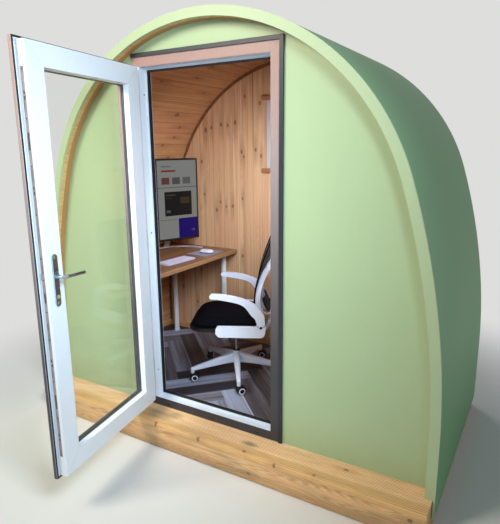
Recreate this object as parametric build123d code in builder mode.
from build123d import *
import os
from math import asin, cos, radians, sin, sqrt

# Garden office pod: an arched, insulated timber pod with a glazed door that opens outwards.
# Millimetres. X runs along the front, Y into the pod, Z up.
# The origin is on the ground, in the middle of the arch's width and depth.

os.makedirs("parts", exist_ok=True)

# The arch: a three-centred curve, from the ground up
half_width = 1270.0
arch_height = 2388.0
side_reach = 2520.0
crown_inset = 130.0
depth = 1360.0

# Layers of the arch, from the outside in
skin_thick = 9.0
shell_thick = 37.0
roof_lining_thick = 10.0
fascia_thick = 12.0
wall_recess = 76.0
wall_thick = 88.0
wall_lining_thick = 12.0
fit_gap = 0.5

# The base, from the ground up
bearer_height = 132.0
bearer_width = 95.0
joist_width = 45.0
board_thick = 28.0
sill_overhang = 105.0
skin_foot = 65.0
floor_panel_thick = 63.0
plank_thick = 10.0
side_clearance = 3.0

# The door frame: welded plastic bars, 70 mm deep
frame_width = 911.0
frame_headroom = 75.9247
frame_x = -16.0
frame_face = 50.0
frame_stop = 20.0
frame_front_depth = 50.0
frame_back_depth = 20.0
frame_proud = 4.0
frame_packing = 6.0
cover_width = 20.0
cover_thick = 12.0

# The door leaf, measured from the hinge pin
open_angle = 80.0
pin_inset = 15.5
pin_stand = 16.0
leaf_clearance = 8.0
leaf_flange_lap = 8.0
leaf_flange_thick = 16.0
leaf_body_thick = 50.0
leaf_seal_gap = 5.0
sash_width = 80.0
bead_width = 21.0
bead_thick = 13.0
lip_thick = 14.0
glass_thick = 24.0
glass_edge_gap = 3.0

# Door fittings
hinge_end_gap = 240.0
knuckle_radius = 9.0
knuckle_height = 44.0
knuckle_gap = 1.0
pin_radius = 4.5
pin_clearance = 0.3
hinge_plate_thick = 4.0
hinge_leaf_reach = 62.0
lever_height = 1185.0
lever_backset = 45.0
lever_length = 128.0
lever_reach = 46.0
lever_radius = 8.0
plate_width = 30.0
plate_length = 236.0
plate_thick = 8.0
plate_drop = 18.0
lever_play = 0.4
spindle_side = 8.0
spindle_hole_radius = 7.0
cylinder_drop = 92.0
cylinder_radius = 8.5
cylinder_proud = 3.0
faceplate_width = 16.0
faceplate_thick = 3.0
keep_thick = 1.5
keep_width = 20.0
keep_length = 180.0
keep_setback = 22.0
faceplate_end_gap = 101.0

# The desk, the screen and what lies on the desk
desk_wall_gap = 120.0
desk_width = 650.0
desk_end_gap = 14.0
desk_top_height = 950.0
desk_thick = 28.0
desk_leg_radius = 20.0
desk_leg_inset = 78.0
leg_flare = 4.0
leg_plate_flare = 22.0
leg_foot_height = 12.0
leg_plate_thick = 6.0
screen_width = 358.0
screen_height = 612.0
screen_thick = 34.0
screen_lift = 92.0
screen_turn = 69.0
screen_setback = 346.0
screen_y = 210.0
keyboard_setback = 150.0
keyboard_y = -80.0
keyboard_length = 280.0
keyboard_width = 118.0
keyboard_thick = 9.0
mat_setback = 140.0
mat_y = 262.0
mat_length = 225.0
mat_width = 182.0
mat_thick = 3.0
mouse_setback = 122.0
mouse_y = 250.0
mouse_length = 110.0
mouse_width = 62.0
mouse_height = 28.0

# The office chair: its heights are over the floor, its depths from the swivel, to the front
chair_desk_gap = 330.0
chair_y = -60.0
chair_heading = 206.5
star_radius = 315.0
star_turn = 16.4
castor_radius = 25.0
castor_width = 46.0
wheel_width = 19.0
socket_radius = 13.0
hub_radius = 30.0
hub_height = 52.0
sleeve_radius = 25.0
sleeve_length = 36.0
piston_radius = 14.0
piston_play = 0.4
piston_depth = 60.0
mechanism_width = 120.0
mechanism_length = 250.0
mechanism_height = 44.0
seat_height = 458.0
seat_width = 480.0
seat_length = 480.0
seat_forward = 50.0
seat_thick = 80.0
seat_plate_thick = 12.0
seat_plate_margin = 60.0
arm_half_spacing = 283.0
arm_bar = 34.0
arm_rise = 180.0
arm_pivot_back = 183.0
arm_pivot_height = 468.0
arm_pin_radius = 8.0
arm_pin_play = 0.4
arm_eye_radius = 26.0
arm_eye_gap = 5.5
arm_ear_thick = 13.0
arm_ear_gap = 1.0
back_width = 440.0
back_bottom_height = 522.0
back_rise = 490.0
mesh_thick = 6.0
strut_width = 34.0
strut_thick = 15.0

# Sizes that follow from the ones above
front_y = -depth / 2
back_y = depth / 2
panel_y = depth / 2 - wall_recess
inner_y = panel_y - wall_thick - wall_lining_thick
shell_inset = skin_thick + shell_thick
lining_inset = shell_inset + roof_lining_thick
board_top = bearer_height + board_thick
panel_top = bearer_height + floor_panel_thick
floor_top = panel_top + plank_thick
base_half = half_width - skin_thick - side_clearance
sill_front = front_y - sill_overhang
side_radius = half_width + side_reach
crown_radius = half_width - crown_inset
crown_z = arch_height - crown_radius
side_x = half_width - side_radius
centre_gap = side_radius - crown_radius
spring_z = crown_z - sqrt(centre_gap**2 - side_x**2)
knee_angle = asin((crown_z - spring_z) / centre_gap)

frame_left = frame_x - frame_width / 2
frame_right = frame_x + frame_width / 2
frame_bottom = board_top
frame_corner = max(-frame_left, frame_right)
frame_top = crown_z + sqrt(crown_radius**2 - frame_corner**2) - frame_headroom
frame_height = frame_top - frame_bottom
frame_front = -panel_y - frame_proud
frame_back = frame_front + frame_front_depth + frame_back_depth

pieces = []


def finish(builder, label):
    """Label a finished piece, write it out and keep it."""
    builder.part.label = label
    export_step(builder.part, f"parts/{label}.step")
    pieces.append(builder.part)


def upright(y):
    """A plane facing the front at depth y, with X to the right and Z up."""
    return Plane.XZ.offset(-y)


def arch_line(inset):
    """The arch, set in from the outside by inset: from the ground over the crown and down again."""
    side = side_radius - inset
    crown = crown_radius - inset
    half_knee = knee_angle / 2
    knee_x = crown * cos(knee_angle)
    knee_z = crown_z + crown * sin(knee_angle)
    foot_x = half_width - inset
    turn_x = side_x + side * cos(half_knee)
    turn_z = spring_z + side * sin(half_knee)
    Line((foot_x, 0), (foot_x, spring_z))
    ThreePointArc((foot_x, spring_z), (turn_x, turn_z), (knee_x, knee_z))
    ThreePointArc((knee_x, knee_z), (0, crown_z + crown), (-knee_x, knee_z))
    ThreePointArc((-knee_x, knee_z), (-turn_x, turn_z), (-foot_x, spring_z))
    Line((-foot_x, spring_z), (-foot_x, 0))


def cut_feet(foot):
    """Cut off what a sketch of the arch has below foot."""
    with Locations((0, foot)):
        Rectangle(2 * half_width + 2, arch_height, align=(Align.CENTER, Align.MAX), mode=Mode.SUBTRACT)


def arch_face(inset, foot):
    """The whole area under the arch, down to foot."""
    with BuildLine() as outline:
        arch_line(inset)
        Line((-half_width + inset, 0), (half_width - inset, 0))
    make_face(outline.edges())
    cut_feet(foot)


def arch_band(outer_inset, inner_inset, foot):
    """The strip between two arch lines, with level feet."""
    with BuildLine() as outline:
        arch_line(outer_inset)
        arch_line(inner_inset)
        Line((half_width - outer_inset, 0), (half_width - inner_inset, 0))
        Line((inner_inset - half_width, 0), (outer_inset - half_width, 0))
    make_face(outline.edges())
    cut_feet(foot)


def block(x0, x1, y0, y1, z0, z1):
    """A rectangular block between two corners."""
    with Locations(((x0 + x1) / 2, (y0 + y1) / 2, (z0 + z1) / 2)):
        Box(x1 - x0, y1 - y0, z1 - z0)


# Base: bearers and joists on the ground
with BuildPart() as front_bearer:
    block(-base_half, base_half, sill_front, sill_front + bearer_width, 0, bearer_height)
    lower = front_bearer.edges().filter_by(Axis.X).group_by(Axis.Z)[0]
    fillet(lower.sort_by(Axis.Y)[0], radius=12)
finish(front_bearer, "front_bearer")

with BuildPart() as back_bearer:
    block(-base_half, base_half, back_y - bearer_width, back_y, 0, bearer_height)
finish(back_bearer, "back_bearer")

joist_spacing = (2 * base_half - joist_width) / 4
with BuildPart() as floor_joists:
    for place in (-2, -1, 0, 1, 2):
        joist_left = place * joist_spacing - joist_width / 2
        block(joist_left, joist_left + joist_width, sill_front + bearer_width, back_y - bearer_width,
              0, bearer_height)
finish(floor_joists, "floor_joists")

# The sill is a decking board with a reeded top and a rounded front edge
reed_pitch = 10.5
reed_depth = 1.8
sill_nose = 24.0
with BuildPart() as sill_board:
    with BuildSketch(Plane.YZ.offset(-base_half)):
        with BuildLine():
            Polyline(
                (-panel_y, bearer_height),
                (-panel_y, board_top),
                (sill_front + sill_nose + 10, board_top),
            )
            Spline(
                (sill_front + sill_nose + 10, board_top),
                (sill_front, board_top - 11),
                tangents=((-1, 0), (-0.35, -1)),
            )
            Polyline(
                (sill_front, board_top - 11),
                (sill_front, bearer_height),
                (-panel_y, bearer_height),
            )
        make_face()
        reed_start = sill_front + sill_nose + 16
        reed_count = int((-panel_y - reed_start - 4) / reed_pitch)
        for reed in range(reed_count):
            with Locations((reed_start + reed * reed_pitch, board_top - reed_depth / 2)):
                Trapezoid(4.4, reed_depth, 62, rotation=180, mode=Mode.SUBTRACT)
    extrude(amount=2 * base_half)
finish(sill_board, "sill_board")

# Sole plates carry the two end walls inside the arch, and the rear arch rib
inside_half = half_width - shell_inset - fit_gap
with BuildPart() as sole_plates:
    block(-inside_half, inside_half, -panel_y, -inner_y, bearer_height, board_top)
    block(-inside_half, inside_half, inner_y, panel_y, bearer_height, board_top)
    block(-base_half, base_half, panel_y, back_y, bearer_height, board_top)
finish(sole_plates, "sole_plates")

with BuildPart() as floor_panel:
    block(-inside_half, inside_half, -inner_y, inner_y, bearer_height, panel_top)
finish(floor_panel, "floor_panel")

room_half = half_width - lining_inset - fit_gap
with BuildPart() as floor_planks:
    block(-room_half, room_half, -inner_y, inner_y, panel_top, floor_top)
finish(floor_planks, "floor_planks")

# Arch: skin, insulated shell, lining, ribs and fascias
with BuildPart() as roof_skin:
    with BuildSketch(upright(back_y - fascia_thick)):
        arch_band(0, skin_thick, skin_foot)
    extrude(amount=depth - 2 * fascia_thick)
finish(roof_skin, "roof_skin")

with BuildPart() as roof_shell:
    with BuildSketch(upright(panel_y)):
        arch_band(skin_thick, shell_inset, bearer_height)
    extrude(amount=2 * panel_y)
finish(roof_shell, "roof_shell")

with BuildPart() as roof_lining:
    with BuildSketch(upright(inner_y)):
        arch_band(shell_inset + fit_gap, lining_inset, panel_top)
    extrude(amount=2 * inner_y)
finish(roof_lining, "roof_lining")

for end, rib_back, fascia_back in (
    ("front", -panel_y, front_y + fascia_thick),
    ("back", back_y - fascia_thick, back_y),
):
    with BuildPart() as arch_rib:
        with BuildSketch(upright(rib_back)):
            arch_band(skin_thick, shell_inset, board_top)
        extrude(amount=wall_recess - fascia_thick)
    finish(arch_rib, f"{end}_arch_rib")

    with BuildPart() as arch_fascia:
        with BuildSketch(upright(fascia_back)):
            arch_band(0, shell_inset, board_top)
            for side in (-1, 1):
                with Locations((side * (half_width - skin_thick / 2), (board_top + skin_foot) / 2)):
                    Rectangle(skin_thick, board_top - skin_foot)
        extrude(amount=fascia_thick)
    finish(arch_fascia, f"{end}_fascia")

# Front wall: beside and over the doorway
hole_left = frame_left - frame_packing
hole_right = frame_right + frame_packing
hole_top = frame_top + frame_packing


def wall_part(y0, y1, x0, x1, z0):
    """A slab of end wall under the arch, between x0 and x1 and above z0."""
    with BuildSketch(upright(y1)) as slab:
        arch_face(shell_inset + fit_gap, board_top)
        with Locations(((x0 + x1) / 2, z0 + arch_height / 2)):
            Rectangle(x1 - x0, arch_height, mode=Mode.INTERSECT)
    extrude(slab.sketch, amount=y1 - y0)


wall_inside = -panel_y + wall_thick
for label, x0, x1, z0 in (
    ("front_wall_left", -half_width, hole_left, board_top),
    ("front_wall_right", hole_right, half_width, board_top),
    ("front_wall_over_door", hole_left, hole_right, hole_top),
):
    with BuildPart() as front_wall:
        wall_part(-panel_y, wall_inside, x0, x1, z0)
    finish(front_wall, label)

with BuildPart() as front_lining:
    with BuildSketch(upright(-inner_y)):
        arch_face(shell_inset + fit_gap, board_top)
        with Locations(((hole_left + hole_right) / 2, (board_top + hole_top) / 2)):
            Rectangle(hole_right - hole_left, hole_top - board_top, mode=Mode.SUBTRACT)
    extrude(amount=wall_lining_thick)
finish(front_lining, "front_lining")

with BuildPart() as back_wall:
    wall_part(panel_y - wall_thick, panel_y, -half_width, half_width, board_top)
finish(back_wall, "back_wall")

with BuildPart() as back_lining:
    wall_part(inner_y, inner_y + wall_lining_thick, -half_width, half_width, board_top)
finish(back_lining, "back_lining")

# Trim on the back wall: a dark strip round the arch and a skirting board
trim_width = 20.0
trim_thick = 8.0
skirting_height = 45.0
with BuildPart() as back_arch_trim:
    with BuildSketch(upright(inner_y)):
        arch_band(lining_inset + fit_gap, lining_inset + trim_width, floor_top + skirting_height)
    extrude(amount=trim_thick)
finish(back_arch_trim, "back_arch_trim")

with BuildPart() as back_skirting:
    block(-room_half, room_half, inner_y - trim_thick, inner_y, floor_top, floor_top + skirting_height)
finish(back_skirting, "back_skirting")

# Door frame: mitred bars with a stop at the back
middle_z = (frame_bottom + frame_top) / 2
hinge_heights = (frame_bottom + hinge_end_gap, middle_z, frame_top - hinge_end_gap)


def mitred(side, plane, middle, width, height, bar, amount):
    """One mitred bar of a rectangular ring: drawn on the plane and extruded by amount."""
    w = width / 2
    h = height / 2
    corners = {
        "left": ((-w, -h), (-w, h), (-w + bar, h - bar), (-w + bar, -h + bar)),
        "right": ((w, -h), (w, h), (w - bar, h - bar), (w - bar, -h + bar)),
        "top": ((-w, h), (w, h), (w - bar, h - bar), (-w + bar, h - bar)),
        "bottom": ((-w, -h), (w, -h), (w - bar, -h + bar), (-w + bar, -h + bar)),
    }
    with BuildSketch(plane) as outline:
        with BuildLine():
            Polyline(*[(x + middle[0], z + middle[1]) for x, z in corners[side]], close=True)
        make_face()
    extrude(outline.sketch, amount=amount)


for label, side in (
    ("door_frame_hinge_jamb", "left"),
    ("door_frame_lock_jamb", "right"),
    ("door_frame_head", "top"),
    ("door_frame_threshold", "bottom"),
):
    with BuildPart() as frame_bar:
        stop_front = frame_back - frame_back_depth
        mitred(side, upright(stop_front), (frame_x, middle_z), frame_width, frame_height,
               frame_face, frame_front_depth)
        mitred(side, upright(frame_back), (frame_x, middle_z), frame_width, frame_height,
               frame_face + frame_stop, frame_back_depth)
    finish(frame_bar, label)

# A dark cover strip closes the packing gap over the head and down the lock side
with BuildPart() as frame_cover_strip:
    with BuildSketch(upright(-panel_y)):
        with BuildLine():
            Polyline(
                (frame_left, frame_top),
                (frame_right, frame_top),
                (frame_right, frame_bottom),
                (frame_right + cover_width, frame_bottom),
                (frame_right + cover_width, frame_top + cover_width),
                (frame_left, frame_top + cover_width),
                close=True,
            )
        make_face()
    extrude(amount=cover_thick)
finish(frame_cover_strip, "frame_cover_strip")

# Three keeps on the lock jamb take the bolts of the lock
keep_x = frame_right - frame_face
with BuildPart() as frame_keeps:
    for height in (hinge_heights[0] + keep_length / 2, lever_height, hinge_heights[2] - keep_length / 2):
        block(keep_x - keep_thick, keep_x, frame_front + keep_setback, frame_front + keep_setback + keep_width,
              height - keep_length / 2, height + keep_length / 2)
finish(frame_keeps, "frame_keeps")

# Door leaf: all its sizes are taken from the hinge pin, in a frame that turns with the leaf.
# u runs along the leaf from the pin, w runs through it towards the room.
pin_x = frame_left + pin_inset
pin_y = frame_front - pin_stand
leaf_dir = (cos(radians(-open_angle)), sin(radians(-open_angle)))
leaf_out = (leaf_dir[1], -leaf_dir[0])


def leaf_plane(w):
    """A plane along the leaf, w inside the pin: local x along the leaf, local y up, normal outwards."""
    origin = (pin_x - w * leaf_out[0], pin_y - w * leaf_out[1], 0)
    return Plane(origin=origin, x_dir=(leaf_dir[0], leaf_dir[1], 0), z_dir=(leaf_out[0], leaf_out[1], 0))


rebate_left = frame_face - pin_inset
rebate_right = frame_width - frame_face - pin_inset
rebate_bottom = frame_bottom + frame_face
rebate_top = frame_top - frame_face
leaf_middle = ((rebate_left + rebate_right) / 2, (rebate_bottom + rebate_top) / 2)
body_width = rebate_right - rebate_left - 2 * leaf_clearance
body_height = rebate_top - rebate_bottom - 2 * leaf_clearance
flange_width = rebate_right - rebate_left + 2 * leaf_flange_lap
flange_height = rebate_top - rebate_bottom + 2 * leaf_flange_lap
flange_back = pin_stand - leaf_seal_gap
flange_front = flange_back - leaf_flange_thick
body_back = flange_back + leaf_body_thick
glass_front = flange_front + lip_thick
glass_back = glass_front + glass_thick
body_left = leaf_middle[0] - body_width / 2
body_right = leaf_middle[0] + body_width / 2
sight_width = sash_width + bead_width
flange_over = (flange_width - body_width) / 2
lever_u = body_right - lever_backset
cylinder_z = lever_height - cylinder_drop
plate_z = lever_height - plate_drop
faceplate_length = body_height - 2 * faceplate_end_gap


def leaf_drill(u, z, radius):
    """A round hole through the leaf at u, z."""
    with BuildSketch(leaf_plane(body_back + 1)) as hole:
        with Locations((u, z)):
            Circle(radius)
    extrude(hole.sketch, amount=body_back - flange_front + 2, mode=Mode.SUBTRACT)


for label, side in (
    ("leaf_hinge_stile", "left"),
    ("leaf_lock_stile", "right"),
    ("leaf_top_rail", "top"),
    ("leaf_bottom_rail", "bottom"),
):
    with BuildPart() as leaf_bar:
        mitred(side, leaf_plane(body_back), leaf_middle, body_width, body_height,
               sash_width, body_back - glass_front)
        mitred(side, leaf_plane(glass_front), leaf_middle, body_width, body_height,
               sight_width, glass_front - flange_front)
        mitred(side, leaf_plane(flange_back), leaf_middle, flange_width, flange_height,
               flange_over + 20, leaf_flange_thick)
        if side == "right":
            leaf_drill(lever_u, lever_height, spindle_hole_radius)
            leaf_drill(lever_u, cylinder_z, cylinder_radius + fit_gap)
            groove_w = flange_back + leaf_body_thick / 2 + faceplate_width / 2
            with BuildSketch(leaf_plane(groove_w)):
                with Locations((body_right - faceplate_thick / 2, leaf_middle[1])):
                    Rectangle(faceplate_thick, faceplate_length)
            extrude(amount=faceplate_width, mode=Mode.SUBTRACT)
    finish(leaf_bar, label)

with BuildPart() as door_glass:
    glass_margin = 2 * (sash_width + glass_edge_gap)
    with BuildSketch(leaf_plane(glass_back)):
        with Locations(leaf_middle):
            Rectangle(body_width - glass_margin, body_height - glass_margin)
    extrude(amount=glass_thick)
finish(door_glass, "door_glass")

# The beads hold the glass from the room side and slope towards it
with BuildPart() as glazing_beads:
    bead_outer_w = body_width - 2 * sash_width
    bead_outer_h = body_height - 2 * sash_width
    with BuildSketch(leaf_plane(body_back)):
        with Locations(leaf_middle):
            Rectangle(bead_outer_w, bead_outer_h)
            Rectangle(bead_outer_w - 2 * bead_width + 12, bead_outer_h - 2 * bead_width + 12, mode=Mode.SUBTRACT)
    with BuildSketch(leaf_plane(glass_back)):
        with Locations(leaf_middle):
            Rectangle(bead_outer_w, bead_outer_h)
            Rectangle(bead_outer_w - 2 * bead_width, bead_outer_h - 2 * bead_width, mode=Mode.SUBTRACT)
    loft()
finish(glazing_beads, "glazing_beads")

with BuildPart() as lock_faceplate:
    groove_w = flange_back + leaf_body_thick / 2 + faceplate_width / 2
    with BuildSketch(leaf_plane(groove_w)):
        with Locations((body_right - faceplate_thick / 2, leaf_middle[1])):
            Rectangle(faceplate_thick, faceplate_length)
    extrude(amount=faceplate_width)
finish(lock_faceplate, "lock_faceplate")

# Back plates on both faces of the leaf, with the cylinder between them
with BuildPart() as handle_plates:
    for w in (body_back + plate_thick, flange_front):
        with BuildSketch(leaf_plane(w)):
            with Locations((lever_u, plate_z)):
                SlotOverall(plate_length, plate_width, rotation=90)
            with Locations((lever_u, lever_height)):
                Circle(spindle_hole_radius, mode=Mode.SUBTRACT)
            with Locations((lever_u, cylinder_z)):
                Circle(cylinder_radius + fit_gap, mode=Mode.SUBTRACT)
        extrude(amount=plate_thick)
finish(handle_plates, "handle_plates")

with BuildPart() as lock_cylinder:
    cylinder_w = body_back + plate_thick + cylinder_proud
    with BuildSketch(leaf_plane(cylinder_w)):
        with Locations((lever_u, cylinder_z)):
            Circle(cylinder_radius)
    extrude(amount=cylinder_w - flange_front + plate_thick + cylinder_proud)
finish(lock_cylinder, "lock_cylinder")

# Lever handles: two sprung levers on one square spindle
inner_w = body_back + plate_thick + lever_play
outer_w = flange_front - plate_thick - lever_play
with BuildPart() as lever_handles:
    with BuildSketch(leaf_plane(inner_w)):
        with Locations((lever_u, lever_height)):
            Rectangle(spindle_side, spindle_side)
    extrude(amount=inner_w - outer_w)
    for start, direction in ((inner_w, 1), (outer_w, -1)):
        with BuildSketch(leaf_plane(start)):
            with Locations((lever_u, lever_height)):
                Circle(11)
        extrude(amount=-direction * 8)
        neck = leaf_plane(start + direction * 8)
        bend = leaf_plane(start + direction * (lever_reach - 22))
        bar = leaf_plane(start + direction * lever_reach)
        with BuildLine() as lever_path:
            neck_start = neck.from_local_coords(Vector(lever_u, lever_height, 0))
            neck_end = bend.from_local_coords(Vector(lever_u, lever_height, 0))
            bar_start = bar.from_local_coords(Vector(lever_u - 22, lever_height, 0))
            bar_end = bar.from_local_coords(Vector(lever_u - lever_length, lever_height - 6, 0))
            neck_line = Line(neck_start, neck_end)
            elbow = Spline(neck_end, bar_start, tangents=(neck_line % 1, Vector(bar_end - bar_start)))
            Line(bar_start, bar_end)
        with BuildSketch(Plane(neck_start, z_dir=neck_line % 0)):
            Circle(lever_radius)
        sweep(path=lever_path.wires()[0])
finish(lever_handles, "lever_handles")

# Flag hinges: the frame's half carries the pin, the leaf's half turns on it
with BuildPart() as frame_hinge_halves:
    for height in hinge_heights:
        with BuildSketch(Plane.XY.offset(height - knuckle_height)):
            with Locations((pin_x, pin_y)):
                Circle(knuckle_radius)
            with Locations((pin_x, pin_y + pin_stand / 2)):
                Rectangle(10, pin_stand)
            plate_end = rebate_left - leaf_flange_lap - 8
            with Locations((pin_x + (plate_end - pin_inset + 2) / 2, frame_front - hinge_plate_thick / 2)):
                Rectangle(plate_end + pin_inset - 2, hinge_plate_thick)
        extrude(amount=knuckle_height - knuckle_gap / 2)
        with BuildSketch(Plane.XY.offset(height - knuckle_height)):
            with Locations((pin_x, pin_y)):
                Circle(pin_radius)
        extrude(amount=2 * knuckle_height - 4)
finish(frame_hinge_halves, "frame_hinge_halves")

leaf_frame = Plane(origin=(pin_x, pin_y, 0), x_dir=(leaf_dir[0], leaf_dir[1], 0), z_dir=(0, 0, 1))
with BuildPart() as leaf_hinge_halves:
    for height in hinge_heights:
        with BuildSketch(leaf_frame.offset(height + knuckle_gap / 2)):
            Circle(knuckle_radius)
            with Locations((hinge_leaf_reach / 2, flange_front - hinge_plate_thick / 2)):
                Rectangle(hinge_leaf_reach, hinge_plate_thick)
            Circle(pin_radius + pin_clearance, mode=Mode.SUBTRACT)
        extrude(amount=knuckle_height)
finish(leaf_hinge_halves, "leaf_hinge_halves")

# Desk: a board on four tube legs
desk_left = desk_wall_gap - half_width
desk_right = desk_left + desk_width
desk_length = 2 * (inner_y - desk_end_gap)
desk_underside = desk_top_height - desk_thick
with BuildPart() as desk_top:
    block(desk_left, desk_right, -desk_length / 2, desk_length / 2, desk_underside, desk_top_height)
    fillet(desk_top.edges().filter_by(Axis.Z), radius=4)
finish(desk_top, "desk_top")

with BuildPart() as desk_legs:
    for x in (desk_left + desk_leg_inset, desk_right - desk_leg_inset):
        for y in (-desk_length / 2 + desk_leg_inset, desk_length / 2 - desk_leg_inset):
            with BuildSketch(Plane.XY.offset(floor_top)):
                with Locations((x, y)):
                    Circle(desk_leg_radius + leg_flare)
            extrude(amount=leg_foot_height)
            with BuildSketch(Plane.XY.offset(floor_top + leg_foot_height)):
                with Locations((x, y)):
                    Circle(desk_leg_radius)
            extrude(amount=desk_underside - leg_plate_thick - floor_top - leg_foot_height)
            with BuildSketch(Plane.XY.offset(desk_underside - leg_plate_thick)):
                with Locations((x, y)):
                    Circle(desk_leg_radius + leg_plate_flare)
            extrude(amount=leg_plate_thick)
finish(desk_legs, "desk_legs")

# Screen: upright, turned towards the chair, on a neck and a curved foot
screen_x = desk_right - screen_setback
turn = radians(screen_turn)
screen_right = (cos(turn), sin(turn), 0)
screen_face = (sin(turn), -cos(turn), 0)
screen_middle_z = desk_top_height + screen_lift + screen_height / 2


def screen_plane(behind):
    """A plane behind the screen's face, facing the user: local x along its width, local y up."""
    origin = (screen_x - behind * screen_face[0], screen_y - behind * screen_face[1], 0)
    return Plane(origin=origin, x_dir=screen_right, z_dir=screen_face)


bezel_thick = 14.0
with BuildPart() as monitor:
    with BuildSketch(screen_plane(bezel_thick)):
        with Locations((0, screen_middle_z)):
            RectangleRounded(screen_width, screen_height, 5)
    extrude(amount=bezel_thick)
    with BuildSketch(screen_plane(bezel_thick)):
        with Locations((0, screen_middle_z)):
            RectangleRounded(screen_width - 30, screen_height - 30, 12)
    with BuildSketch(screen_plane(screen_thick)):
        with Locations((0, screen_middle_z)):
            RectangleRounded(screen_width - 110, screen_height - 150, 12)
    loft()
finish(monitor, "monitor")

foot_radius = 215.0
foot_centre = 10.0
foot_band = 26.0
foot_thick = 7.0
neck_width = 46.0
neck_thick = 16.0
neck_rise = 210.0
neck_gap = 0.3
foot_frame = Plane(origin=(screen_x, screen_y, desk_top_height), x_dir=screen_right, z_dir=(0, 0, 1))
with BuildPart() as monitor_stand:
    with BuildSketch(foot_frame):
        with Locations((0, foot_centre)):
            Circle(foot_radius)
            Circle(foot_radius - foot_band, mode=Mode.SUBTRACT)
        with Locations((0, foot_centre - foot_radius / 2)):
            Rectangle(2 * foot_radius + foot_thick, foot_radius, mode=Mode.SUBTRACT)
    extrude(amount=foot_thick)
    with BuildSketch(foot_frame.offset(foot_thick)):
        with Locations((0, foot_centre + foot_radius - foot_band / 2)):
            RectangleRounded(neck_width, neck_thick, 4)
    with BuildSketch(foot_frame.offset(screen_lift + neck_rise)):
        with Locations((0, screen_thick + neck_thick / 2 + neck_gap)):
            RectangleRounded(neck_width, neck_thick, 4)
    loft()
finish(monitor_stand, "monitor_stand")


def desk_plane(setback, y, height):
    """A level plane over the desk, its local x running along the desk's front edge."""
    return Plane(origin=(desk_right - setback, y, desk_top_height + height), x_dir=(0.08, 0.99, 0),
                 z_dir=(0, 0, 1))


with BuildPart() as keyboard:
    with BuildSketch(desk_plane(keyboard_setback, keyboard_y, 0)):
        RectangleRounded(keyboard_length, keyboard_width, 9)
    extrude(amount=keyboard_thick)
finish(keyboard, "keyboard")

with BuildPart() as mouse_mat:
    with BuildSketch(desk_plane(mat_setback, mat_y, 0)):
        RectangleRounded(mat_length, mat_width, 6)
    extrude(amount=mat_thick)
finish(mouse_mat, "mouse_mat")

with BuildPart() as mouse:
    with BuildSketch(desk_plane(mouse_setback, mouse_y, mat_thick)):
        SlotOverall(mouse_length, mouse_width, rotation=-80)
    extrude(amount=mouse_height)
    fillet(mouse.edges().group_by(Axis.Z)[-1], radius=20)
finish(mouse, "mouse")

# Chair base: a five-armed star on castors, under a gas column
chair_x = desk_right + chair_desk_gap
castor_top = floor_top + 2 * castor_radius + 6
hub_bottom = castor_top + 32
hub_top = hub_bottom + hub_height
star_frame = Plane.XY.offset(hub_bottom)


def star_point(arm, radius):
    """The place of a star arm at a radius from the swivel, with the arm's outward and sideways directions."""
    angle = radians(star_turn + 72 * arm)
    out = (cos(angle), sin(angle), 0)
    return (chair_x + radius * out[0], chair_y + radius * out[1]), out, (-out[1], out[0], 0)


with BuildPart() as chair_base:
    with BuildSketch(star_frame):
        with Locations((chair_x, chair_y)):
            Circle(hub_radius)
    extrude(amount=hub_height)
    for arm in range(5):
        start, out, side = star_point(arm, hub_radius - 10)
        end, out, side = star_point(arm, star_radius)
        with BuildSketch(Plane(origin=(*start, hub_top - 24), x_dir=side, z_dir=out)):
            RectangleRounded(48, 44, 9)
        with BuildSketch(Plane(origin=(*end, castor_top + 26), x_dir=side, z_dir=out)):
            RectangleRounded(27, 24, 7)
        loft()
        with BuildSketch(Plane.XY.offset(castor_top)):
            with Locations(end):
                Circle(socket_radius)
        extrude(amount=34)
finish(chair_base, "chair_base")

with BuildPart() as chair_castors:
    for arm in range(5):
        end, out, side = star_point(arm, star_radius)
        spin = radians(35 + 100 * arm)
        trail = 14.0
        axle_place = (end[0] + trail * cos(spin), end[1] + trail * sin(spin), floor_top + castor_radius)
        axle = Plane(origin=axle_place, x_dir=(cos(spin), sin(spin), 0), z_dir=(-sin(spin), cos(spin), 0))
        for offset in (-castor_width / 2, castor_width / 2 - wheel_width):
            with BuildSketch(axle.offset(offset)):
                Circle(castor_radius)
            extrude(amount=wheel_width)
        with BuildSketch(axle.offset(-castor_width / 2 + wheel_width)):
            Circle(castor_radius - 5)
        extrude(amount=castor_width - 2 * wheel_width)
        with BuildSketch(Plane.XY.offset(floor_top + castor_radius)):
            with Locations(end):
                Circle(5.5)
        extrude(amount=castor_top - floor_top - castor_radius)
finish(chair_castors, "chair_castors")

column_top = hub_top + sleeve_length
with BuildPart() as chair_column:
    with BuildSketch(Plane.XY.offset(hub_top)):
        with Locations((chair_x, chair_y)):
            Circle(sleeve_radius)
    extrude(amount=sleeve_length)
    with BuildSketch(Plane.XY.offset(column_top)):
        with Locations((chair_x, chair_y)):
            Circle(piston_radius + piston_play)
    extrude(amount=-sleeve_length, mode=Mode.SUBTRACT)
finish(chair_column, "chair_column")

# The part of the chair that swivels, in a frame with local x to the front of the chair
heading = radians(chair_heading)
chair_front = (cos(heading), sin(heading), 0)
chair_left = (-sin(heading), cos(heading), 0)
seat_bottom = floor_top + seat_height - seat_thick
mechanism_bottom = seat_bottom - seat_plate_thick - mechanism_height


def chair_level(z):
    """A level plane at height z: local x to the chair's front, local y to its left."""
    return Plane(origin=(chair_x, chair_y, z), x_dir=chair_front, z_dir=(0, 0, 1))


def chair_side(offset):
    """An upright plane at an offset to the chair's left: local x to its front, local y up from the floor."""
    origin = (chair_x + offset * chair_left[0], chair_y + offset * chair_left[1], floor_top)
    return Plane(origin=origin, x_dir=chair_front, z_dir=(chair_front[1], -chair_front[0], 0))


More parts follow.
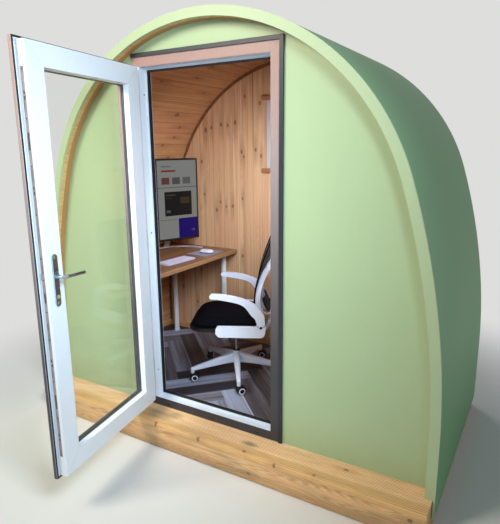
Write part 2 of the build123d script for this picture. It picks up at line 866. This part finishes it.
def chair_point(forward, left, height):
    """A point of the chair, with its height over the floor."""
    x = chair_x + forward * chair_front[0] + left * chair_left[0]
    y = chair_y + forward * chair_front[1] + left * chair_left[1]
    return Vector(x, y, floor_top + height)


with BuildPart() as chair_mechanism:
    with BuildSketch(chair_level(hub_top + 1)):
        Circle(piston_radius)
    extrude(amount=mechanism_bottom - hub_top - 1)
    with BuildSketch(chair_level(mechanism_bottom)):
        with Locations((-20, 0)):
            RectangleRounded(mechanism_length, mechanism_width, 14)
    extrude(amount=mechanism_height)
    with BuildSketch(chair_level(mechanism_bottom + mechanism_height)):
        with Locations((seat_forward, 0)):
            RectangleRounded(seat_length - 2 * seat_plate_margin, seat_width - 2 * seat_plate_margin, 40)
    extrude(amount=seat_plate_thick)
    with BuildSketch(chair_level(mechanism_bottom)):
        with Locations((60, 0)):
            Circle(18)
    extrude(amount=-26)
finish(chair_mechanism, "chair_mechanism")

with BuildPart() as chair_seat:
    with BuildSketch(chair_level(seat_bottom + 0.3)):
        with Locations((seat_forward, 0)):
            RectangleRounded(seat_length, seat_width, 95)
    extrude(amount=seat_thick)
    fillet(chair_seat.edges().group_by(Axis.Z)[-1], radius=26)
finish(chair_seat, "chair_seat")

# Brackets run along both sides of the seat and rise at the back to the pivots of the arms
bracket_bottom = seat_height - seat_thick - 5
bracket_top = bracket_bottom + 66
horn_top = arm_pivot_height - 18
with BuildPart() as chair_arm_brackets:
    for side in (-1, 1):
        with BuildSketch(chair_side(side * arm_half_spacing - arm_bar / 2)) as bracket:
            with BuildLine():
                Polyline(
                    (100, bracket_bottom + 20),
                    (100, bracket_top - 14),
                    (88, bracket_top),
                )
                Line((88, bracket_top), (-112, bracket_top))
                Spline(
                    (-112, bracket_top),
                    (-arm_pivot_back + 28, horn_top),
                    tangents=((-1, 0), (-0.1, 1)),
                )
                Line((-arm_pivot_back + 28, horn_top), (-arm_pivot_back - 28, horn_top))
                Spline(
                    (-arm_pivot_back - 28, horn_top),
                    (-arm_pivot_back + 6, bracket_bottom),
                    tangents=((-0.05, -1), (1, -0.1)),
                )
                Line((-arm_pivot_back + 6, bracket_bottom), (80, bracket_bottom))
                Line((80, bracket_bottom), (100, bracket_bottom + 20))
            make_face()
            with Locations((-arm_pivot_back, arm_pivot_height)):
                Circle(arm_eye_radius + arm_eye_gap, mode=Mode.SUBTRACT)
        extrude(amount=-arm_bar)
        arm_inner = side * (arm_half_spacing - arm_bar / 2)
        ear_inner = arm_inner - side * (arm_ear_thick + arm_ear_gap)
        ear_root = ear_inner
        ear_depth = -arm_ear_thick
        root_depth = -arm_ear_thick - 3
        if side < 0:
            ear_root = ear_inner - arm_ear_thick - 3
            ear_inner = ear_inner - arm_ear_thick
        with BuildSketch(chair_side(ear_inner)):
            with Locations((-arm_pivot_back, arm_pivot_height - 20)):
                SlotOverall(80, 40, rotation=90)
        extrude(amount=ear_depth)
        with BuildSketch(chair_side(ear_root)):
            with Locations((-arm_pivot_back, bracket_bottom + 30)):
                Rectangle(40, 44)
        extrude(amount=root_depth)
        pin_start = min(ear_inner, side * (arm_half_spacing + arm_bar / 2 + 1))
        with BuildSketch(chair_side(pin_start)):
            with Locations((-arm_pivot_back, arm_pivot_height)):
                Circle(arm_pin_radius)
        extrude(amount=-(arm_ear_thick + arm_ear_gap + arm_bar + 1))
        strap_inner = side * (seat_width / 2 - seat_plate_margin)
        strap_outer = side * (arm_half_spacing - arm_bar / 2 + 4)
        with BuildSketch(chair_level(seat_bottom - seat_plate_thick)):
            with Locations((-35, (strap_inner + strap_outer) / 2)):
                Rectangle(90, abs(strap_outer - strap_inner))
        extrude(amount=seat_plate_thick)
finish(chair_arm_brackets, "chair_arm_brackets")

# Arms: each turns up on a pin in its bracket and sweeps forward into a level rest
for label, side in (("chair_arm_left", 1), ("chair_arm_right", -1)):
    rest_top = arm_pivot_height + arm_rise
    with BuildPart() as chair_arm:
        with BuildSketch(chair_side(side * arm_half_spacing - arm_bar / 2)) as arm_outline:
            with BuildLine():
                pivot_front = (-arm_pivot_back + 30, arm_pivot_height + 4)
                pivot_back = (-arm_pivot_back - 22, arm_pivot_height + 4)
                Spline(
                    (120, rest_top),
                    (6, rest_top - 9),
                    (-86, rest_top - 34),
                    (-150, rest_top - 68),
                    (-190, rest_top - 112),
                    pivot_back,
                    tangents=((-1, 0), (0.15, -1)),
                )
                Line(pivot_back, pivot_front)
                Spline(
                    pivot_front,
                    (-128, rest_top - 134),
                    (-85, rest_top - 78),
                    (-24, rest_top - 50),
                    (56, rest_top - 35),
                    (120, rest_top - 29),
                    tangents=((0, 1), (1, 0)),
                )
                ThreePointArc((120, rest_top - 29), (133, rest_top - 14.5), (120, rest_top))
            make_face()
            with Locations((-arm_pivot_back, arm_pivot_height)):
                Circle(arm_eye_radius)
                Circle(arm_pin_radius + arm_pin_play, mode=Mode.SUBTRACT)
        extrude(amount=-arm_bar)
    finish(chair_arm, label)

# The back: two struts and a yoke hold a curved mesh and a lumbar pad
def bowed_section(height, forward, width, thick):
    """A level arc band at one height of the back: its edges forward and its middle further back."""
    bow = 0.16 * width
    half = width / 2
    with BuildSketch(chair_level(floor_top + height)) as section:
        with BuildLine():
            ThreePointArc((forward, -half), (forward - bow / 2, 0), (forward, half))
            Line((forward, half), (forward - thick, half))
            ThreePointArc((forward - thick, half), (forward - thick - bow / 2, 0), (forward - thick, -half))
            Line((forward - thick, -half), (forward, -half))
        make_face()
    return section.sketch


def back_bar(points, width, thick):
    """A flat bar swept through points of the chair, each given as forward, left and height."""
    with BuildLine() as route:
        Spline(*[chair_point(*point) for point in points])
    start = route.line @ 0
    with BuildSketch(Plane(origin=start, x_dir=chair_front, z_dir=route.line % 0)) as section:
        RectangleRounded(width, thick, thick * 0.4)
    sweep(section.sketch, path=route.line)


mesh_line = (
    (0.00, -141.0, 0.60),
    (0.04, -137.0, 0.80),
    (0.12, -134.0, 0.93),
    (0.32, -146.0, 1.00),
    (0.58, -180.0, 0.99),
    (0.82, -223.0, 0.91),
    (0.94, -248.0, 0.80),
    (1.00, -261.0, 0.62),
)


def mesh_sections(proud):
    """The mesh's level sections, each thicker by proud on both faces."""
    return [
        bowed_section(back_bottom_height + rise * back_rise, forward + proud, share * back_width,
                      mesh_thick + 2 * proud)
        for rise, forward, share in mesh_line
    ]


with BuildPart() as chair_back_mesh:
    loft(mesh_sections(0))
finish(chair_back_mesh, "chair_back_mesh")

lug_back = -262.0
lug_front = -247.0
lug_half = 20.0
with BuildPart() as chair_back_frame:
    strut_half = back_width / 2 - 14
    for side in (-1, 1):
        back_bar(
            (
                (-172, side * (strut_half - 12), 512),
                (-161, side * strut_half, 590),
                (-173, side * (strut_half - 4), 675),
                (-204, side * (strut_half - 34), 755),
                (-248, side * (strut_half - 90), 820),
                (-288, side * 30, 868),
            ),
            strut_width, strut_thick,
        )
    with BuildSketch(chair_level(floor_top + 858)):
        with Locations((-289, 0)):
            RectangleRounded(30, 90, 10)
    extrude(amount=26)
    back_bar(
        (
            (-172, -(strut_half - 12), 530),
            (-186, -(strut_half - 40), 492),
            (-222, -90, 462),
            (-246, 0, 452),
            (-222, 90, 462),
            (-186, strut_half - 40, 492),
            (-172, strut_half - 12, 530),
        ),
        strut_width, strut_thick + 3,
    )
    with BuildSketch(chair_side(-lug_half)):
        with BuildLine():
            Polyline(
                (-145, mechanism_bottom - floor_top + 4),
                (-145, mechanism_bottom - floor_top + 30),
                (-196, mechanism_bottom - floor_top + 34),
                (lug_front, 440),
                (lug_front, 545),
                (lug_back, 545),
                (lug_back, 426),
                (-212, mechanism_bottom - floor_top + 4),
                close=True,
            )
        make_face()
    extrude(amount=-2 * lug_half)
    loft(mesh_sections(0.4), mode=Mode.SUBTRACT)
finish(chair_back_frame, "chair_back_frame")

with BuildPart() as chair_lumbar_pad:
    loft([
        bowed_section(482, -216, 190, 11),
        bowed_section(528, -194, 250, 13),
        bowed_section(572, -180, 220, 9),
    ])
    with BuildSketch(chair_side(-12)):
        with BuildLine():
            Polyline((lug_front, 505), (lug_front, 540), (-212, 540), (-214, 505), close=True)
        make_face()
    extrude(amount=-24)
finish(chair_lumbar_pad, "chair_lumbar_pad")

print(len(pieces), "pieces,", round(sum(piece.volume for piece in pieces) / 1e9, 3), "cubic metres")
